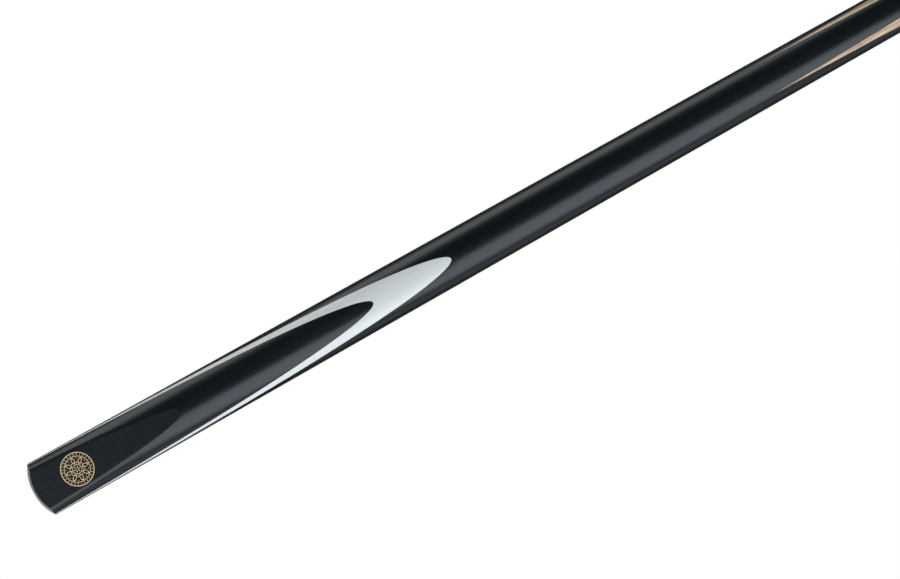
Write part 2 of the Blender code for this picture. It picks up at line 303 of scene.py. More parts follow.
def brass_finish():
    made = new_finish("brass")
    place = made.place()
    rings = made.noise(place, (30, 30, 1.0 / TOOL_MARK_SPACING), 2.0)
    patches = made.noise(place, (180, 180, 180), 5.0)
    spots = made.noise(place, (900, 900, 900), 3.0).ramp(0.62, 0.75)
    bright = (0.80, 0.56, 0.24, 1.0)
    dull = (0.56, 0.36, 0.14, 1.0)
    clean = made.blend(patches.ramp(0.35, 0.72), bright, dull)
    colour = made.blend(spots * 0.5, clean, (0.34, 0.20, 0.08, 1.0))
    made.surface({
        "Base Color": colour,
        "Metallic": 1.0 - spots * 0.15,
        "Roughness": BRASS_ROUGHNESS + 0.12 * patches + 0.10 * spots,
        "Normal": made.bump(rings, 0.000012),
    })
    return made.owner


brass = brass_finish()
print(brass.name, "has", len(brass.node_tree.nodes), "nodes")

# %% [markdown]
# ## Gilt and black enamel for the badge
# The badge's lines stand proud and are gilded matt, so they catch light from all round.
# Between them lies black enamel, which shrinks as it cools and is slightly uneven.

# %% Make the gilt and the enamel
def gilt_finish():
    made = new_finish("badge_gilt")
    place = made.place()
    grain = made.noise(place, (9000, 9000, 9000), 3.0)
    rubbed = made.noise(place, (500, 500, 500), 4.0)
    fresh = (1.0, 0.80, 0.48, 1.0)
    worn = (0.86, 0.64, 0.36, 1.0)
    made.surface({
        "Base Color": made.blend(rubbed.ramp(0.35, 0.75), fresh, worn),
        "Metallic": 0.10 + 0.15 * rubbed,
        "Roughness": 0.42 + 0.15 * grain,
        "Normal": made.bump(grain, 0.00001),
    })
    return made.owner


def enamel_finish():
    made = new_finish("badge_enamel")
    place = made.place()
    pits = made.noise(place, (4000, 4000, 4000), 3.0)
    haze = made.noise(place, (350, 350, 350), 4.0)
    made.surface({
        "Base Color": made.blend(haze, (0.006, 0.006, 0.009, 1.0), (0.018, 0.016, 0.020, 1.0)),
        "Roughness": 0.24 + 0.10 * haze,
        "Normal": made.bump(pits, 0.000008),
    })
    return made.owner


gilt = gilt_finish()
enamel = enamel_finish()
print(gilt.name, "and", enamel.name, "made")

# %% [markdown]
# ## Chalked leather, beech and steel
# The tip is pressed pigskin, blue-green from chalk on its dome and darker on its side.
# The beech plug and the steel weight lie hidden in the butt's bore, but have their own
# finish too, since the cue can be taken apart.

# %% Make the leather, the beech and the steel
TIP_DOME_HEIGHT = 0.0022
TIP_SIDE_TOP = CUE_LENGTH - TIP_DOME_HEIGHT


def leather_finish():
    made = new_finish("tip_leather")
    place = made.place()
    height = made.part(place, 2)
    fibres = made.noise(place, (2500, 2500, 2500), 6.0, 0.7)
    layers = made.noise(place, (60, 60, 2200), 2.0)
    dust = made.noise(place, (700, 700, 700), 5.0)
    side = made.blend(layers, (0.055, 0.075, 0.11, 1.0), (0.11, 0.13, 0.16, 1.0))
    chalk = made.blend(dust.ramp(0.3, 0.7), (0.045, 0.17, 0.33, 1.0), (0.11, 0.32, 0.50, 1.0))
    on_dome = height.ramp(TIP_SIDE_TOP - 0.0006, TIP_SIDE_TOP + 0.0004)
    made.surface({
        "Base Color": made.blend(on_dome * (0.55 + 0.45 * dust), side, chalk),
        "Roughness": 0.80 + 0.15 * dust,
        "Normal": made.bump(fibres + layers * 0.5, 0.00008),
    })
    return made.owner


def beech_finish():
    made = new_finish("dowel")
    place = made.place()
    flecks = made.noise(place, (1500, 1500, 260), 3.0).ramp(0.58, 0.70)
    fibres = made.noise(place, (1400, 1400, 60), 4.0)
    plain = made.blend(fibres, (0.56, 0.37, 0.23, 1.0), (0.46, 0.29, 0.17, 1.0))
    made.surface({
        "Base Color": made.blend(flecks * 0.6, plain, (0.28, 0.15, 0.08, 1.0)),
        "Roughness": 0.60 + 0.15 * fibres,
        "Normal": made.bump(fibres, 0.00004),
    })
    return made.owner


def steel_finish():
    made = new_finish("steel")
    place = made.place()
    rings = made.noise(place, (30, 30, 5000), 2.0)
    haze = made.noise(place, (150, 150, 150), 4.0)
    made.surface({
        "Base Color": made.blend(haze, (0.46, 0.46, 0.48, 1.0), (0.34, 0.34, 0.36, 1.0)),
        "Metallic": 1.0,
        "Roughness": 0.30 + 0.15 * haze,
        "Normal": made.bump(rings, 0.00002),
    })
    return made.owner


leather = leather_finish()
beech = beech_finish()
steel = steel_finish()
print(leather.name, beech.name, steel.name)

# %% [markdown]
# ## The lathe
# Nearly every piece is turned, so one helper stands for the lathe. It starts from a
# circle, pulls it out into one ring after another, and sizes each ring to the profile.

# %% The lathe and the other tools
ROUND_SIDES = 160
SMALL_SIDES = 96
RING_WELD = 0.000002
CUT_WELD = 0.000004
PINHOLE_SIDES = 12
SHARP_ANGLE = math.radians(28)


def lay_tools_down():
    """Leave edit mode and select nothing."""
    if bpy.context.mode != "OBJECT":
        bpy.ops.object.mode_set(mode="OBJECT")
    bpy.ops.object.select_all(action="DESELECT")


def take(piece):
    """Select one piece alone."""
    lay_tools_down()
    piece.select_set(True)
    bpy.context.view_layer.objects.active = piece


def settle(piece):
    """Put the piece's place into its mesh and turn its faces outwards."""
    take(piece)
    bpy.ops.object.transform_apply(location=True, rotation=True, scale=True)
    bpy.ops.object.mode_set(mode="EDIT")
    bpy.ops.mesh.select_all(action="SELECT")
    bpy.ops.mesh.normals_make_consistent(inside=False)
    lay_tools_down()


def turned(name, profile, sides=ROUND_SIDES, ring=False):
    """Turn (radius, height) points about the axis. A ring's profile comes back to its start."""
    lay_tools_down()
    radius, height = profile[0]
    bpy.ops.mesh.primitive_circle_add(
        vertices=sides, radius=radius, fill_type="NOTHING", location=(0, 0, height))
    piece = bpy.context.object
    piece.name = name
    bpy.ops.object.mode_set(mode="EDIT")
    bpy.ops.mesh.select_all(action="SELECT")
    points = profile + profile[:1] if ring else profile
    for (last_radius, last_height), (radius, height) in zip(points, points[1:]):
        bpy.ops.mesh.extrude_region_move(
            TRANSFORM_OT_translate={"value": (0, 0, height - last_height)})
        grow = radius / last_radius
        if grow != 1.0:
            bpy.ops.transform.resize(value=(grow, grow, 1), center_override=(0, 0, height))
    if ring:
        bpy.ops.mesh.select_all(action="SELECT")
        bpy.ops.mesh.remove_doubles(threshold=RING_WELD)
    else:
        bpy.ops.mesh.edge_face_add()
        bpy.ops.mesh.select_all(action="DESELECT")
        bpy.ops.mesh.select_non_manifold()
        bpy.ops.mesh.edge_face_add()
    settle(piece)
    return piece


def close_up(piece):
    """Merge points that all but touch, drop edges without a face and close any pinhole."""
    take(piece)
    bpy.ops.object.mode_set(mode="EDIT")
    bpy.ops.mesh.select_mode(type="VERT")
    bpy.ops.mesh.select_all(action="SELECT")
    bpy.ops.mesh.remove_doubles(threshold=CUT_WELD)
    bpy.ops.mesh.select_all(action="SELECT")
    bpy.ops.mesh.delete_loose(use_verts=True, use_edges=True, use_faces=False)
    bpy.ops.mesh.select_all(action="DESELECT")
    bpy.ops.mesh.select_non_manifold()
    bpy.ops.mesh.fill_holes(sides=PINHOLE_SIDES)
    lay_tools_down()


def combine(piece, tool, operation):
    """Cut the tool away from the piece, or keep what they share. The tool is used up."""
    take(piece)
    bpy.ops.object.modifier_add(type="BOOLEAN")
    modifier = piece.modifiers[-1]
    modifier.operation = operation
    modifier.solver = "EXACT"
    modifier.object = tool
    bpy.ops.object.modifier_apply(modifier=modifier.name)
    bpy.data.objects.remove(tool)
    close_up(piece)


def copy_of(piece, name):
    take(piece)
    bpy.ops.object.duplicate()
    made = bpy.context.object
    made.name = name
    return made


def saw(piece, point, towards):
    """Saw along a plane and drop the side that `towards` points to."""
    take(piece)
    bpy.ops.object.mode_set(mode="EDIT")
    bpy.ops.mesh.select_all(action="SELECT")
    bpy.ops.mesh.bisect(plane_co=point, plane_no=towards, use_fill=True, clear_outer=True)
    close_up(piece)
    settle(piece)


def turn_about_axis(piece, angle):
    take(piece)
    piece.rotation_euler = (0, 0, angle)
    settle(piece)


def join(pieces):
    """Make several meshes one piece, under the first one's name."""
    lay_tools_down()
    for piece in pieces:
        piece.select_set(True)
    bpy.context.view_layer.objects.active = pieces[0]
    bpy.ops.object.join()
    return bpy.context.object


def hand_in(piece, finish, body, slot, *nodes):
    """Give a finished piece its finish, its body and the frame nodes that it stands for."""
    settle(piece)
    take(piece)
    bpy.ops.object.shade_smooth_by_angle(angle=SHARP_ANGLE)
    piece.data.materials.clear()
    piece.data.materials.append(finish)
    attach(piece, body)
    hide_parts(*nodes)
    low = min(v.co.z for v in piece.data.vertices)
    high = max(v.co.z for v in piece.data.vertices)
    print(f"{piece.name}: {len(piece.data.polygons)} faces, z {1000 * low:.1f} to {1000 * high:.1f} mm")


print("the workshop is ready")

# %% [markdown]
# ## The outside of the butt
# Before it is cut into pieces, the butt is one long taper with a gently domed end. The
# end's edge is rounded over so that it doesn't chip when the cue is stood down.

# %% Turn the butt's blank
DOME_RADIUS = 0.0263
END_FLAT_RADIUS = 0.00425
EDGE_ROUND = 0.0005
DOME_RINGS = 14
EDGE_RINGS = 6
EDGE_SWEEP = math.radians(60)
EDGE_STRETCH = 1.4
BLANK_RINGS = (0.12, 0.24, 0.36, 0.48, 0.60)


def butt_blank(name, top):
    """The butt's outer shape, solid, from its domed end up to a height."""
    centre = math.sqrt(DOME_RADIUS**2 - END_FLAT_RADIUS**2)
    edge = butt_radius(0) - EDGE_ROUND
    profile = [(END_FLAT_RADIUS * 0.5, 0.0)]
    for i in range(DOME_RINGS + 1):
        radius = END_FLAT_RADIUS + (edge - END_FLAT_RADIUS) * i / DOME_RINGS
        profile.append((radius, centre - math.sqrt(DOME_RADIUS**2 - radius**2)))
    edge_low = profile[-1][1]
    for i in range(1, EDGE_RINGS + 1):
        along = i / EDGE_RINGS * EDGE_SWEEP
        out = EDGE_ROUND * math.sin(along) / math.sin(EDGE_SWEEP)
        up = EDGE_ROUND * (1 - math.cos(along)) / (1 - math.cos(EDGE_SWEEP)) * EDGE_STRETCH
        profile.append((edge + out - HAIR, edge_low + up))
    for z in BLANK_RINGS:
        profile.append((butt_radius(z), z))
    profile.append((butt_radius(top), top))
    return turned(name, profile)


COLLAR_LENGTH = 0.012
WOOD_TOP = BUTT_LENGTH - COLLAR_LENGTH - GLUE
blank = butt_blank("blank", WOOD_TOP)
print("the blank has", len(blank.data.polygons), "faces")

# %% [markdown]
# ## The square core and the splices
# Hand splicing planes four long flats on the ash, so that it becomes a square pyramid,
# and glues a block of ebony on each. Turning it round then brings up the long points:
# each ebony point ends where its flat runs out of the surface. The same happens here:
# the blank and a square pyramid are combined, and the points come out where they must.

# %% Make the square
CORE_HALF_WIDTH_AT_END = 0.0023
POINTS_START = 0.4185
SPLICE_TURN = math.radians(-7.4)
BORE_DEPTH = 0.103
BORE_RADIUS = 0.00435
OVERRUN = 0.006


def core_half_width(z):
    at_points = butt_radius(POINTS_START) / math.sqrt(2)
    return CORE_HALF_WIDTH_AT_END + (at_points - CORE_HALF_WIDTH_AT_END) * z / POINTS_START


def core_square(name):
    """A four-sided pyramid with its corners between the splices."""
    ends = [(core_half_width(z) * math.sqrt(2), z) for z in (-OVERRUN, BUTT_LENGTH + OVERRUN)]
    square = turned(name, ends, sides=4)
    turn_about_axis(square, math.radians(45) + SPLICE_TURN)
    return square


square = core_square("square")
corner = max(square.data.vertices, key=lambda v: (round(v.co.z, 6), v.co.x))
print("a corner of the square stands at", round(math.degrees(math.atan2(corner.co.y, corner.co.x)), 1),
      "degrees")

# %% [markdown]
# ## The curved seats
# The white slip and the ebony facing are bent slightly as they are glued, so their seats
# are shallow curves. A seat is drawn as a ribbon across the cue, pulled along the curve,
# and then thickened towards the front into the block that it cuts.

# %% Make the seats' blocks
SLIP_TIP = (0.2382, 0.0751, 0.0034)
FACING_TIP = (0.1938, 0.0657, 0.00405)
SEAT_STEPS = 40
HALF_WIDTH = 0.02


def seat_height(z, tip_z, slope, height_at_end):
    """How far in front of the axis a seat lies at height z."""
    below = tip_z - z
    at_tip = butt_radius(tip_z)
    bend = (height_at_end - at_tip + slope * tip_z) / tip_z**2
    return at_tip - slope * below + bend * below**2


def seat_block(name, seat):
    """Everything in front of a seat."""
    low = -OVERRUN
    high = seat[0] + OVERRUN
    heights = [low + (high - low) * i / SEAT_STEPS for i in range(SEAT_STEPS + 1)]
    path = [(-seat_height(z, *seat), z) for z in heights]
    lay_tools_down()
    start = (0, path[0][0] + HALF_WIDTH, low)
    bpy.ops.mesh.primitive_plane_add(size=2 * HALF_WIDTH, location=start)
    block = bpy.context.object
    block.name = name
    take(block)
    bpy.ops.object.transform_apply(location=True, rotation=True, scale=True)
    for vertex in block.data.vertices:
        vertex.select = vertex.co.y > start[1]
    for edge in block.data.edges:
        edge.select = False
    for face in block.data.polygons:
        face.select = False
    bpy.ops.object.mode_set(mode="EDIT")
    bpy.ops.mesh.select_mode(type="VERT")
    bpy.ops.mesh.delete(type="VERT")
    bpy.ops.mesh.select_all(action="SELECT")
    for (y, z), (next_y, next_z) in zip(path, path[1:]):
        bpy.ops.mesh.extrude_region_move(
            TRANSFORM_OT_translate={"value": (0, next_y - y, next_z - z)})
    bpy.ops.mesh.select_all(action="SELECT")
    bpy.ops.mesh.extrude_region_move(TRANSFORM_OT_translate={"value": (0, -HALF_WIDTH, 0)})
    settle(block)
    return block


slip_block = seat_block("slip_block", SLIP_TIP)
facing_block = seat_block("facing_block", FACING_TIP)
print("seat blocks:", len(slip_block.data.polygons), "and", len(facing_block.data.polygons), "faces")

# %% [markdown]
# ## The ash core
# What is left of the ash is the square core below, the pale strips between the points,
# and the whole round above them. Its top is turned down to a tenon for the collar.

# %% Cut the core
TENON_RADIUS = 0.0085
TENON_TOP = BUTT_LENGTH - 0.0019
SCREW_HOLE_RADIUS = 0.0047
SCREW_HOLE_LOW = BUTT_LENGTH - 0.0302

CORE_RINGS = (BORE_DEPTH, 0.3, 0.5, WOOD_TOP)
tenon = [(TENON_RADIUS, WOOD_TOP), (TENON_RADIUS, TENON_TOP)]
core = turned("ash_core", [(butt_radius(z), z) for z in CORE_RINGS] + tenon)
combine(core, copy_of(square, "square_for_core"), "INTERSECT")
screw_hole = turned("screw_hole", [
    (SCREW_HOLE_RADIUS, SCREW_HOLE_LOW), (SCREW_HOLE_RADIUS, BUTT_LENGTH + OVERRUN)], SMALL_SIDES)
combine(core, screw_hole, "DIFFERENCE")
hand_in(core, ash_butt, "butt", "ash", "ash_butt_core")

# %% [markdown]
# ## The four ebony splices
# The sleeve of ebony round the core is one shape sawn in four along the core's corners,
# where the real blocks are mitred to each other. The slip's seat takes its front away.

# %% Saw the splices
def bore_tool():
    return turned("bore", [(BORE_RADIUS, -OVERRUN), (BORE_RADIUS, BORE_DEPTH)], SMALL_SIDES)


sleeve = copy_of(blank, "sleeve")
combine(sleeve, square, "DIFFERENCE")
combine(sleeve, bore_tool(), "DIFFERENCE")
combine(sleeve, copy_of(slip_block, "slip_seat"), "DIFFERENCE")
print("the sleeve has", len(sleeve.data.polygons), "faces")

for place, quarter in (("front", 0), ("right", 1), ("back", 2), ("left", 3)):
    splice = copy_of(sleeve, f"splice_{place}")
    for side in (-1, 1):
        angle = SPLICE_TURN + math.radians(90 * quarter - 90 + side * 135)
        saw(splice, (0, 0, 0), (math.cos(angle), math.sin(angle), 0))
    hand_in(splice, ebony, "butt", "ebony", f"ebony_splice_{place}")
bpy.data.objects.remove(sleeve)

# %% [markdown]
# ## The white slip and the ebony facing
# The slip is the layer between the two seats. The facing fills the front and is planed
# flat at the end, where it takes the badge in a round pocket. Sanding and lacquer ease
# the flat over into the round along both its sides, so the plane's own edge is curved.

# %% Cut the slip and the facing
slip = copy_of(blank, "slip")
combine(slip, slip_block, "INTERSECT")
combine(slip, copy_of(facing_block, "facing_seat"), "DIFFERENCE")
combine(slip, bore_tool(), "DIFFERENCE")
hand_in(slip, white, "butt", "white_slip", "white_slip")

FLAT_HEIGHT_AT_END = 0.0089
FLAT_RUN_OUT = 0.085
FLAT_SLOPE = (butt_radius(FLAT_RUN_OUT) - FLAT_HEIGHT_AT_END) / FLAT_RUN_OUT
BADGE_Z = 0.025
BADGE_RADIUS = 0.009
BADGE_THICKNESS = 0.0016
BADGE_EDGE = 0.0001
POCKET_ROOM = 0.00003
BADGE_TILT = math.radians(90) + math.atan(FLAT_SLOPE)
BADGE_PLACE = (0, -(FLAT_HEIGHT_AT_END + FLAT_SLOPE * BADGE_Z), BADGE_Z)


def onto_the_flat(piece):
    """Stand something made lying at the origin on the badge's place."""
    piece.rotation_euler = (BADGE_TILT, 0, 0)
    piece.location = BADGE_PLACE
    settle(piece)


EASE_START = 0.82
EASE_END = 1.12
EASE_STEPS = 8
EASE_POWER = 3
PLANE_STEPS = 36
PLANE_CROWDING = 0.8
PLANE_DEPTH = 0.02
LEAST_SQUARE = 1e-9
SEED = 0.001   # side of the small square that an outline grows from


def flat_height(z):
    return FLAT_HEIGHT_AT_END + FLAT_SLOPE * z


def half_flat(z):
    """Half the width of the flat at height z."""
    return math.sqrt(max(butt_radius(z) ** 2 - flat_height(z) ** 2, LEAST_SQUARE))


def flat_plane(name):
    """All that is planed away in front of the flat, eased over along both its sides."""
    sides = [EASE_START + (EASE_END - EASE_START) * i / EASE_STEPS for i in range(EASE_STEPS + 1)]
    lifts = [(i / EASE_STEPS) ** EASE_POWER for i in range(EASE_STEPS + 1)]
    right = list(zip(sides, lifts))
    outline = [(-u, lift) for u, lift in reversed(right)] + right
    low = -OVERRUN
    run = FLAT_RUN_OUT - low
    heights = [low + run * (i / PLANE_STEPS) ** PLANE_CROWDING for i in range(PLANE_STEPS)]

    def section(z):
        """Width and rise of the eased outline at height z."""
        width = half_flat(z)
        edge = EASE_END * width
        rise = flat_height(z) - math.sqrt(butt_radius(z) ** 2 - edge**2)
        return width, rise

    lay_tools_down()
    width, rise = section(low)
    start = (outline[0][0] * width, -flat_height(low) + outline[0][1] * rise, low)
    bpy.ops.mesh.primitive_plane_add(size=SEED, location=start)
    tool = bpy.context.object
    tool.name = name
    bpy.ops.object.mode_set(mode="EDIT")
    bpy.ops.mesh.select_all(action="SELECT")
    bpy.ops.mesh.merge(type="CENTER")
    for (u, lift), (next_u, next_lift) in zip(outline, outline[1:]):
        step = ((next_u - u) * width, (next_lift - lift) * rise, 0)
        bpy.ops.mesh.extrude_region_move(TRANSFORM_OT_translate={"value": step})
    bpy.ops.mesh.select_all(action="SELECT")
    for z, next_z in zip(heights, heights[1:]):
        next_width, next_rise = section(next_z)
        centre = (0, -flat_height(next_z), next_z)
        step = (0, flat_height(z) - flat_height(next_z), next_z - z)
        bpy.ops.mesh.extrude_region_move(TRANSFORM_OT_translate={"value": step})
        bpy.ops.transform.resize(
            value=(next_width / width, next_rise / rise, 1), center_override=centre)
        width, rise = next_width, next_rise
    bpy.ops.mesh.select_all(action="SELECT")
    bpy.ops.mesh.extrude_region_move(TRANSFORM_OT_translate={"value": (0, -PLANE_DEPTH, 0)})
    settle(tool)
    return tool


facing = copy_of(blank, "facing")
combine(facing, facing_block, "INTERSECT")
combine(facing, flat_plane("flat_plane"), "DIFFERENCE")
combine(facing, bore_tool(), "DIFFERENCE")
pocket_radius = BADGE_RADIUS + POCKET_ROOM
pocket = turned("pocket", [(pocket_radius, -BADGE_THICKNESS - BADGE_EDGE), (pocket_radius, OVERRUN)])
onto_the_flat(pocket)
combine(facing, pocket, "DIFFERENCE")
hand_in(facing, ebony, "butt", "ebony", "ebony_facing")
bpy.data.objects.remove(blank)

# %% [markdown]
# ## The badge
# The badge is struck brass: a rim, rings and a rosette stand up from a sunk ground that
# is filled with enamel, and a narrow groove outside the rim is filled with the same black.
# Every line is a small flat ring or bar. What repeats is made once and then copied from place to place.

# %% Strike the badge
LINE_TOP = -0.00002
LINE_FOOT = -0.00022
LINE_HEIGHT = LINE_TOP - LINE_FOOT
ENAMEL_TOP = -0.00014
RIM_INNER = 0.00817
RIM_OUTER = 0.00858
RIM_EASE = 0.00004
GROUND_FLOOR = -0.00030
LEDGE = -0.00034
ENAMEL_FOOT = -0.00028
BAND_FOOT = -0.00032
BAR_TOP_SHARE = (0.7, 0.85, 1)


def line_ring(inner, outer, sides=SMALL_SIDES):
    """A flat ring that stands up from the ground."""
    lay_tools_down()
    bpy.ops.mesh.primitive_circle_add(
        vertices=sides, radius=outer, fill_type="NOTHING", location=(0, 0, LINE_FOOT))
    made = bpy.context.object
    bpy.ops.object.mode_set(mode="EDIT")
    bpy.ops.mesh.select_all(action="SELECT")
    bpy.ops.mesh.extrude_region_move()
    shrink = inner / outer
    bpy.ops.transform.resize(value=(shrink, shrink, 1), center_override=(0, 0, LINE_FOOT))
    bpy.ops.mesh.select_all(action="SELECT")
    bpy.ops.mesh.extrude_region_move(TRANSFORM_OT_translate={"value": (0, 0, LINE_HEIGHT)})
    settle(made)
    return made


def bar(width, length):
    """A small bar with its top edges eased."""
    lay_tools_down()
    bpy.ops.mesh.primitive_cube_add(size=1, location=(0, 0, (LINE_TOP + LINE_FOOT) / 2))
    made = bpy.context.object
    bpy.ops.object.mode_set(mode="EDIT")
    bpy.ops.mesh.select_all(action="SELECT")
    bpy.ops.transform.resize(value=(width, length, LINE_HEIGHT))
    take(made)
    bpy.ops.object.transform_apply(location=True, rotation=True, scale=True)
    for face in made.data.polygons:
        face.select = face.normal.z > 0.9
    bpy.ops.object.mode_set(mode="EDIT")
    bpy.ops.mesh.select_mode(type="FACE")
    bpy.ops.transform.resize(value=BAR_TOP_SHARE, center_override=(0, 0, LINE_TOP))
    settle(made)
    return made


def copied_round(made, out, count, turn=0.0, stretch=(1, 1)):
    """Move a motif out from the centre, stretch it and copy it round."""
    take(made)
    bpy.ops.object.mode_set(mode="EDIT")
    bpy.ops.mesh.select_mode(type="VERT")
    bpy.ops.mesh.select_all(action="SELECT")
    bpy.ops.transform.resize(value=(*stretch, 1), center_override=(0, 0, 0))
    bpy.ops.transform.translate(value=(0, out, 0))
    bpy.ops.transform.rotate(value=turn, orient_axis="Z", center_override=(0, 0, 0))
    for _ in range(count - 1):
        bpy.ops.mesh.duplicate()
        bpy.ops.transform.rotate(value=math.tau / count, orient_axis="Z", center_override=(0, 0, 0))
    settle(made)
    return made


def badge_lines():
    """All the raised lines: each motif's size, how far out it stands and how often."""
    petal = math.tau / 8
    return [
        copied_round(bar(0.00042, 0.00085), 0.00738, 28),
        line_ring(0.00640, 0.00668),
        copied_round(line_ring(0.00080, 0.00114, 16), 0.00450, 8, 0.0, (0.80, 1.50)),
        copied_round(bar(0.00052, 0.00052), 0.00562, 8, petal / 2),
        copied_round(bar(0.00034, 0.00120), 0.00360, 8, petal / 2),
        line_ring(0.00216, 0.00244),
        copied_round(bar(0.00046, 0.00130), 0.00110, 6),
    ]


plate = turned("badge_plate_lines", [
    (BADGE_RADIUS * 0.5, -BADGE_THICKNESS),
    (BADGE_RADIUS - BADGE_EDGE, -BADGE_THICKNESS),
    (BADGE_RADIUS, -BADGE_THICKNESS + BADGE_EDGE),
    (BADGE_RADIUS, BAND_FOOT),
    (BADGE_RADIUS - 2 * HAIR, LEDGE),
    (RIM_OUTER + HAIR, LEDGE),
    (RIM_OUTER, -RIM_EASE),
    (RIM_OUTER - RIM_EASE, 0.0),
    (RIM_INNER + RIM_EASE, 0.0),
    (RIM_INNER, -RIM_EASE),
    (RIM_INNER, GROUND_FLOOR),
    (RIM_INNER * 0.5, GROUND_FLOOR),
])
plate = join([plate] + badge_lines())
onto_the_flat(plate)
hand_in(plate, gilt, "butt", "badge_brass", "badge_plate")

ground = turned("badge_ground", [
    (RIM_INNER * 0.5, ENAMEL_FOOT),
    (RIM_INNER - HAIR, ENAMEL_FOOT),
    (RIM_INNER - HAIR, ENAMEL_TOP + RIM_EASE),
    (RIM_INNER - 2 * RIM_EASE, ENAMEL_TOP),
    (RIM_INNER * 0.5, ENAMEL_TOP - HAIR),
])
band = turned("badge_band", [
    (RIM_OUTER + 2 * HAIR, BAND_FOOT),
    (BADGE_RADIUS - HAIR, BAND_FOOT),
    (BADGE_RADIUS - HAIR, ENAMEL_TOP),
    (RIM_OUTER + 2 * HAIR, ENAMEL_TOP + 2 * HAIR),
], ring=True)
ground = join([ground, band])
onto_the_flat(ground)
hand_in(ground, enamel, "butt", "badge_enamel", "badge_enamel")

# %% [markdown]
# ## Screw threads
# A thread is one small tooth carried round and up at the same time. The Screw modifier
# does just that. The rod is made too long and then trimmed by a turned blank, which
# gives the ends their lead-in.

# %% Cut a thread
THREAD_STEPS = 40
PITCH = 0.0025
SCREW_RADIUS = 0.0047
SCREW_ROOT = 0.0040
THREAD_WELD = 0.000003
TOOTH = ((0.0, 0.14), (1.0, 0.30), (0.0, 0.12), (-1.0, 0.30), (0.0, 0.14))


def threaded_rod(name, crest, root, low, high):
    """A rod with a right-hand thread, sawn off square at low and high."""
    lay_tools_down()
    start = (math.floor(low / PITCH) - 2) * PITCH
    turns = math.ceil((high - start) / PITCH) + 2
    bpy.ops.mesh.primitive_plane_add(size=SEED, location=(root - SEED / 2, SEED / 2, start))
    rod = bpy.context.object
    rod.name = name
    bpy.ops.object.transform_apply(location=True, rotation=True, scale=True)
    bpy.ops.object.mode_set(mode="EDIT")
    bpy.ops.mesh.select_mode(type="VERT")
    bpy.ops.mesh.select_all(action="DESELECT")
    bpy.ops.object.mode_set(mode="OBJECT")
    for vertex in rod.data.vertices:
        vertex.select = vertex.co.x < root - SEED / 5 or vertex.co.y > SEED / 5
    bpy.ops.object.mode_set(mode="EDIT")
    bpy.ops.mesh.delete(type="VERT")
    bpy.ops.mesh.select_all(action="SELECT")
    for out, along in TOOTH:
        step = (out * (crest - root), 0, along * PITCH)
        bpy.ops.mesh.extrude_region_move(TRANSFORM_OT_translate={"value": step})
    take(rod)
    bpy.ops.object.modifier_add(type="SCREW")
    screw = rod.modifiers[-1]
    screw.axis = "Z"
    screw.angle = math.tau
    screw.screw_offset = PITCH
    screw.iterations = turns
    screw.steps = THREAD_STEPS
    screw.render_steps = THREAD_STEPS
    bpy.ops.object.modifier_apply(modifier=screw.name)
    bpy.ops.object.mode_set(mode="EDIT")
    bpy.ops.mesh.select_all(action="SELECT")
    bpy.ops.mesh.remove_doubles(threshold=THREAD_WELD)
    lay_tools_down()
    saw(rod, (0, 0, high), (0, 0, 1))
    saw(rod, (0, 0, low), (0, 0, -1))
    return rod


trial = threaded_rod("trial", SCREW_RADIUS, SCREW_ROOT, 0.0, 0.01)
print("a 10 mm length of thread has", len(trial.data.polygons), "faces")
bpy.data.objects.remove(trial)

# %% [markdown]
# ## The joint screw
# The male half of the joint is one brass turning: a long anchor in the ash, a flange on
# the joint's face, a short neck, the thread and a plain pilot that finds the socket.

# %% Turn the screw
FLANGE_THICKNESS = 0.0017
FLANGE_LOW = BUTT_LENGTH - FLANGE_THICKNESS
NECK_RADIUS = 0.0041
PILOT_RADIUS = 0.0038
SCREW_TOP = BUTT_LENGTH + 0.025
THREAD_LOW = BUTT_LENGTH + 0.0022
THREAD_HIGH = SCREW_TOP - 0.0033
LEAD_IN = 0.0008

screw = turned("screw", [
    (SCREW_RADIUS - 0.0004, BUTT_LENGTH - 0.030),
    (SCREW_RADIUS - 0.00005, BUTT_LENGTH - 0.0296),
    (SCREW_RADIUS - 0.00005, FLANGE_LOW),
    (TENON_RADIUS, FLANGE_LOW),
    (TENON_RADIUS, BUTT_LENGTH - 0.00015),
    (TENON_RADIUS - 0.00015, BUTT_LENGTH),
    (NECK_RADIUS + 0.0002, BUTT_LENGTH),
    (NECK_RADIUS, BUTT_LENGTH + 0.0002),
    (NECK_RADIUS, THREAD_LOW),
    (SCREW_ROOT - 0.0001, THREAD_LOW + 0.0004),
    (SCREW_ROOT - 0.0001, THREAD_HIGH),
    (PILOT_RADIUS, THREAD_HIGH + 0.0003),
    (PILOT_RADIUS, SCREW_TOP - 0.0006),
    (PILOT_RADIUS - 0.0005, SCREW_TOP),
], SMALL_SIDES)
thread = threaded_rod("thread", SCREW_RADIUS, SCREW_ROOT, THREAD_LOW - 0.001, THREAD_HIGH + 0.001)
thread_shape = turned("thread_shape", [
    (SCREW_ROOT - 0.0002, THREAD_LOW),
    (SCREW_RADIUS + 0.0001, THREAD_LOW + LEAD_IN),
    (SCREW_RADIUS + 0.0001, THREAD_HIGH - LEAD_IN),
    (SCREW_ROOT - 0.0002, THREAD_HIGH),
], SMALL_SIDES)
combine(thread, thread_shape, "INTERSECT")
screw = join([screw, thread])
hand_in(screw, brass, "butt", "brass", "joint_screw")

# %% [markdown]
# ## The two collars
# A brass collar on each half keeps the wood from splitting at the joint. Each is a ring
# turned with a fine groove or two, and its sharp edges are broken.

# %% Turn the collars
COLLAR_BORE = 0.0086
GROOVE_DEPTH = 0.00022
GROOVE_WIDTH = 0.0005
EDGE_BREAK = 0.00018
COLLAR_GROOVES = (0.0016, 0.0030)
COLLAR_REACH = 0.00025


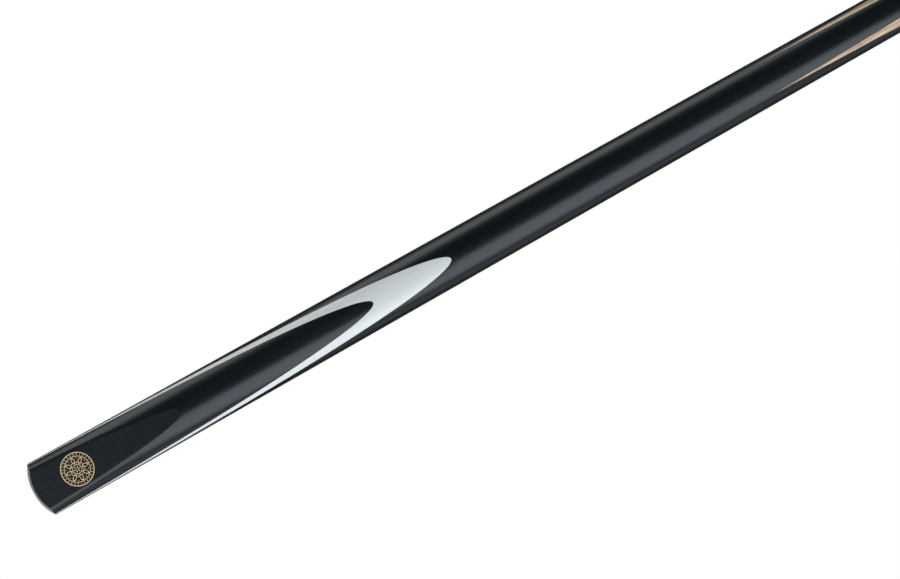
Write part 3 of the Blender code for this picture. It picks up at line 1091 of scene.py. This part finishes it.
def collar(name, radius_at, low, high, grooves):
    """A collar between two heights, with a groove at each height in the list."""
    profile = [
        (COLLAR_BORE, low + EDGE_BREAK),
        (COLLAR_BORE + EDGE_BREAK, low),
        (radius_at(low) - EDGE_BREAK, low),
        (radius_at(low) - HAIR, low + EDGE_BREAK),
    ]
    for z in grooves:
        radius = radius_at(z) - HAIR
        profile += [
            (radius, z - GROOVE_WIDTH / 2),
            (radius - GROOVE_DEPTH, z - GROOVE_WIDTH / 4),
            (radius - GROOVE_DEPTH, z + GROOVE_WIDTH / 4),
            (radius, z + GROOVE_WIDTH / 2),
        ]
    profile += [
        (radius_at(high) - HAIR, high - EDGE_BREAK),
        (radius_at(high) - EDGE_BREAK, high),
        (COLLAR_BORE + EDGE_BREAK, high),
        (COLLAR_BORE, high - EDGE_BREAK),
    ]
    return turned(name, profile, ring=True)


butt_low = BUTT_LENGTH - COLLAR_LENGTH
butt_collar = collar("collar_of_butt", butt_radius, butt_low, BUTT_LENGTH,
                     [butt_low + up for up in COLLAR_GROOVES])
hand_in(butt_collar, brass, "turning_collar", "brass", "butt_collar")

SHAFT_LOW = BUTT_LENGTH + SEAM
shaft_collar_top = SHAFT_LOW + COLLAR_LENGTH
shaft_collar = collar("collar_of_shaft", shaft_radius, SHAFT_LOW - COLLAR_REACH, shaft_collar_top,
                      [shaft_collar_top - down for down in reversed(COLLAR_GROOVES)])
hand_in(shaft_collar, brass, "shaft", "brass", "shaft_collar")

# %% [markdown]
# ## The socket in the shaft
# The female half is a flanged brass sleeve let into the ash. Its thread is the screw's
# with about a fifth of a millimetre of room all round.

# %% Turn the socket
THREAD_ROOM = 0.00022
SOCKET_RADIUS = 0.0065
SOCKET_TOP = BUTT_LENGTH + 0.028
PILOT_HOLE = 0.0030
MOUTH_ROOM = 0.0008

socket = turned("socket", [
    (PILOT_HOLE, SHAFT_LOW),
    (TENON_RADIUS, SHAFT_LOW),
    (TENON_RADIUS, SHAFT_LOW + FLANGE_THICKNESS),
    (SOCKET_RADIUS, SHAFT_LOW + FLANGE_THICKNESS),
    (SOCKET_RADIUS, SOCKET_TOP),
    (PILOT_HOLE, SOCKET_TOP),
])
tap = threaded_rod("tap", SCREW_RADIUS + THREAD_ROOM, SCREW_ROOT + THREAD_ROOM,
                   SHAFT_LOW - 0.002, SOCKET_TOP + 0.002)
combine(socket, tap, "DIFFERENCE")
mouth = turned("mouth", [
    (SCREW_RADIUS + MOUTH_ROOM, SHAFT_LOW - 0.001),
    (SCREW_RADIUS + MOUTH_ROOM, SHAFT_LOW + 0.0002),
    (SCREW_ROOT, SHAFT_LOW + 0.0014),
], SMALL_SIDES)
combine(socket, mouth, "DIFFERENCE")
hand_in(socket, brass, "shaft", "brass", "joint_socket")

# %% [markdown]
# ## The ash shaft
# The shaft is one piece of straight ash. It tapers evenly to the ferrule, with a hole at
# the bottom for the socket and a tenon at the top that the ferrule slides over.

# %% Turn the shaft
TIP_LOW = CUE_LENGTH - 0.006
FERRULE_HIGH = TIP_LOW - 0.0001
FERRULE_LENGTH = 0.010
FERRULE_LOW = TIP_LOW - SEAM - FERRULE_LENGTH
FERRULE_WALL = 0.0008
ferrule_bore = shaft_radius(FERRULE_HIGH) - FERRULE_WALL
wood_step = shaft_collar_top + GLUE
wood_high = FERRULE_LOW - 0.0001
SHAFT_RINGS = (0.90, 1.10, 1.30, wood_high)

shaft = turned("shaft", [
    (SOCKET_RADIUS * 0.5, SOCKET_TOP + SEAM),
    (SOCKET_RADIUS + GLUE, SOCKET_TOP + SEAM),
    (SOCKET_RADIUS + GLUE, SHAFT_LOW + 0.0020),
    (TENON_RADIUS, SHAFT_LOW + 0.0020),
    (TENON_RADIUS, wood_step),
    (shaft_radius(wood_step) - 0.00008, wood_step),
    (shaft_radius(wood_step) - 0.00001, wood_step + 0.0001),
    *[(shaft_radius(z), z) for z in SHAFT_RINGS],
    (ferrule_bore - GLUE, wood_high),
    (ferrule_bore - GLUE, TIP_LOW - SEAM),
])
hand_in(shaft, ash_shaft, "shaft", "ash", "ash_shaft")

# %% [markdown]
# ## The ferrule and the tip
# The brass ferrule caps the thin end so that it doesn't split, and carries the tip: a
# disc of pressed leather, filed to a low dome and burnished until its side bulges.

# %% Turn the ferrule and the tip
FERRULE_GROOVE = 0.00012
ferrule = turned("brass_ferrule", [
    (ferrule_bore, FERRULE_LOW),
    (shaft_radius(FERRULE_LOW) - 0.0001, FERRULE_LOW),
    (shaft_radius(FERRULE_LOW), FERRULE_LOW + 0.0001),
    (shaft_radius(FERRULE_LOW + 0.0012), FERRULE_LOW + 0.0012),
    (shaft_radius(FERRULE_LOW + 0.0014) - FERRULE_GROOVE, FERRULE_LOW + 0.0014),
    (shaft_radius(FERRULE_LOW + 0.0016) - FERRULE_GROOVE, FERRULE_LOW + 0.0016),
    (shaft_radius(FERRULE_LOW + 0.0018), FERRULE_LOW + 0.0018),
    (shaft_radius(FERRULE_HIGH - 0.0002), FERRULE_HIGH - 0.0002),
    (shaft_radius(FERRULE_HIGH) - 0.0001, FERRULE_HIGH),
    (ferrule_bore, FERRULE_HIGH),
], ring=True)
hand_in(ferrule, brass, "shaft", "brass", "ferrule")

TIP_EDGE = 0.0001
TIP_BULGE = 0.0001
TIP_RINGS = 10
tip_radius = shaft_radius(CUE_LENGTH)
tip_dome = (tip_radius**2 + TIP_DOME_HEIGHT**2) / (2 * TIP_DOME_HEIGHT)
tip_profile = [(tip_radius - TIP_EDGE, TIP_LOW)]
for i in range(TIP_RINGS + 1):
    along = i / TIP_RINGS
    bulge = TIP_BULGE * math.sin(math.pi * along)
    height = TIP_LOW + TIP_EDGE + (TIP_SIDE_TOP - TIP_LOW - TIP_EDGE) * along
    tip_profile.append((tip_radius + bulge, height))
for i in range(1, TIP_RINGS):
    radius = tip_radius * (1 - i / TIP_RINGS)
    drop = tip_dome - math.sqrt(tip_dome**2 - radius**2)
    tip_profile.append((radius, CUE_LENGTH - drop))
tip_profile.append((tip_radius * 0.02, CUE_LENGTH))
tip = turned("tip", tip_profile)
hand_in(tip, leather, "shaft", "tip_leather", "leather_tip")

# %% [markdown]
# ## The insert, the plug and the weight
# A threaded brass insert in the butt end takes a screw-in extension. Behind it a beech
# plug holds a steel weight, which sets the balance. The insert's thread is so fine that
# plain rings can't be told from it. The plug and the weight can't be seen, so the
# frame's own shapes stay and only get their finish.

# %% Turn the insert, and finish what is hidden
INSERT_RADIUS = 0.00425
INSERT_LENGTH = 0.024
EXTENSION_CREST = 0.0031
EXTENSION_ROOT = 0.0026
EXTENSION_PITCH = 0.001
EXTENSION_TURNS = 21
EXTENSION_START = 0.0015
RECESS = 0.00002

insert_profile = [
    (EXTENSION_ROOT, INSERT_LENGTH),
    (INSERT_RADIUS, INSERT_LENGTH),
    (INSERT_RADIUS, 0.00022),
    (INSERT_RADIUS - 0.0002, RECESS),
    (EXTENSION_CREST + 0.0004, RECESS),
    (EXTENSION_ROOT, 0.0010),
]
for turn in range(EXTENSION_TURNS):
    start = EXTENSION_START + turn * EXTENSION_PITCH
    insert_profile += [
        (EXTENSION_ROOT, start + 0.0001),
        (EXTENSION_CREST, start + 0.00045),
        (EXTENSION_CREST, start + 0.00055),
        (EXTENSION_ROOT, start + 0.0009),
    ]
insert = turned("insert", insert_profile, SMALL_SIDES, ring=True)
hand_in(insert, brass, "butt", "brass", "extension_insert")

for node, finish in (("weight_plug", beech), ("butt_weight", steel)):
    for slot_number in range(len(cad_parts[node].material_slots)):
        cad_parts[node].material_slots[slot_number].material = finish
    print(node, "wears", finish.name)

# %% [markdown]
# ## The floor
# The cue is held upright over a pale floor. The floor is one big smooth sheet. To the
# eye it must be as white as the paper behind it and yet keep the cue's shadow, so it
# glows white for the eye and in reflections, and mixes that glow with its own lit surface.

# %% Lay the floor
FLOOR_Z = -0.34
FLOOR_RADIUS = 1.3
GLOW_FOR_EYE = 0.72
GLOW_FOR_GLOSS = 0.80

lay_tools_down()
bpy.ops.mesh.primitive_circle_add(
    vertices=96, radius=FLOOR_RADIUS, fill_type="NGON", location=(0, 0, FLOOR_Z))
floor = bpy.context.object
floor.name = "floor"
settle(floor)


def floor_finish():
    made = new_finish("floor")
    speckle = made.noise(made.place(), (300, 300, 300), 3.0)
    paint = made.blend(speckle, (0.80, 0.80, 0.80, 1.0), (0.84, 0.84, 0.84, 1.0))
    lit = made.node("ShaderNodeBsdfDiffuse", None, {"Color": paint, "Roughness": 0.5})
    glow = made.node("ShaderNodeEmission", None, {"Color": (1, 1, 1, 1), "Strength": 1.0})
    eye, gloss = made.rays()
    share = eye * GLOW_FOR_EYE + gloss * GLOW_FOR_GLOSS
    mixed = made.node("ShaderNodeMixShader", None, {0: share, 1: lit, 2: glow})
    made.node("ShaderNodeOutputMaterial", None, {"Surface": mixed})
    return made.owner


floor.data.materials.append(floor_finish())
print("floor at", FLOOR_Z, "m,", 2 * FLOOR_RADIUS, "m across")

# %% [markdown]
# ## The lamps
# A glossy dark rod is lit with long soft boxes that stand parallel to it: each one draws
# a soft stripe along the whole cue. One stands to the right of the camera, one behind
# the cue's left shoulder, and a weak one behind its right shoulder.

# %% Hang the soft boxes
LAMP_DISTANCE = 1.5
LAMP_HEIGHT = 3.0
LAMP_CENTRE_Z = 0.55
WATTS_PER_RADIANCE = 4   # for each square metre of lamp


def soft_box(name, direction, spread, radiance, colour):
    """A tall lamp seen from the cue in a direction (degrees from -Y towards +X) and so wide."""
    lay_tools_down()
    angle = math.radians(direction)
    place = (LAMP_DISTANCE * math.sin(angle), -LAMP_DISTANCE * math.cos(angle), LAMP_CENTRE_Z)
    bpy.ops.object.light_add(type="AREA", location=place, rotation=(math.radians(90), 0, angle))
    lamp = bpy.context.object
    lamp.name = name
    width = 2 * LAMP_DISTANCE * math.tan(math.radians(spread / 2))
    lamp.data.shape = "RECTANGLE"
    lamp.data.size = width
    lamp.data.size_y = LAMP_HEIGHT
    lamp.data.energy = WATTS_PER_RADIANCE * radiance * width * LAMP_HEIGHT
    lamp.data.color = colour
    lamp.visible_camera = False
    print(f"{name}: {width:.2f} m wide, {lamp.data.energy:.1f} W")


soft_box("right_box", 52.0, 60, 1.46, (1.0, 1.0, 1.0))
soft_box("left_box", -97.5, 39, 1.02, (1.0, 0.995, 0.90))
soft_box("back_right_box", 110, 24, 0.36, (1.0, 1.0, 1.0))

# %% [markdown]
# ## The room
# The room gives an even light all round. To the eye it is white paper. The brass and the
# lacquer see that paper only behind the cue, a dim table low in front of it, and a dark
# room everywhere else, as in a studio where only the backdrop is lit.

# %% Paint the room
ROOM_LIGHT = 0.40
ROOM_DARK = 0.03
TABLE_LIGHT = 0.065


def paint_room():
    world = bpy.data.worlds.new("room")
    bpy.context.scene.world = world
    made = Finish(world)
    direction = made.node("ShaderNodeTexCoord", give="Generated")
    behind = made.part(direction, 1).ramp(0.93, 0.985)
    below = (0.0 - made.part(direction, 2)).ramp(0.05, 0.10)
    ahead = (0.0 - made.part(direction, 1)).ramp(0.88, 0.96)
    eye, gloss = made.rays()
    seen_in_gloss = behind * (1.0 - ROOM_DARK) + ROOM_DARK + below * ahead * TABLE_LIGHT
    level = gloss * seen_in_gloss + (1.0 - gloss) * ROOM_LIGHT
    strength = eye + (1.0 - eye) * level
    sky = made.node("ShaderNodeBackground", None, {"Color": (1, 1, 1, 1), "Strength": strength})
    made.node("ShaderNodeOutputWorld", None, {"Surface": sky})


paint_room()
print("room light", ROOM_LIGHT)

# %% [markdown]
# ## The camera
# A long lens from far away keeps the cue's sides straight and parallel. The camera looks
# square at the badge and is rolled, so that the cue lies across the frame.

# %% Set up the camera
LENS = 400
SENSOR = 36
FIELD = 0.4482
CUE_RISE = math.radians(29.373)
AIM = (0.01305, 0.2302)

distance = FIELD * LENS / SENSOR
roll = math.radians(90) - CUE_RISE
bpy.ops.object.camera_add(
    location=(AIM[0], -distance, AIM[1]), rotation=(math.radians(90), -roll, 0))
camera = bpy.context.object
camera.data.lens = LENS
camera.data.sensor_width = SENSOR
camera.data.clip_end = 100
bpy.context.scene.camera = camera
bpy.context.scene.view_settings.view_transform = "Standard"
print("camera at", round(distance, 3), "m")
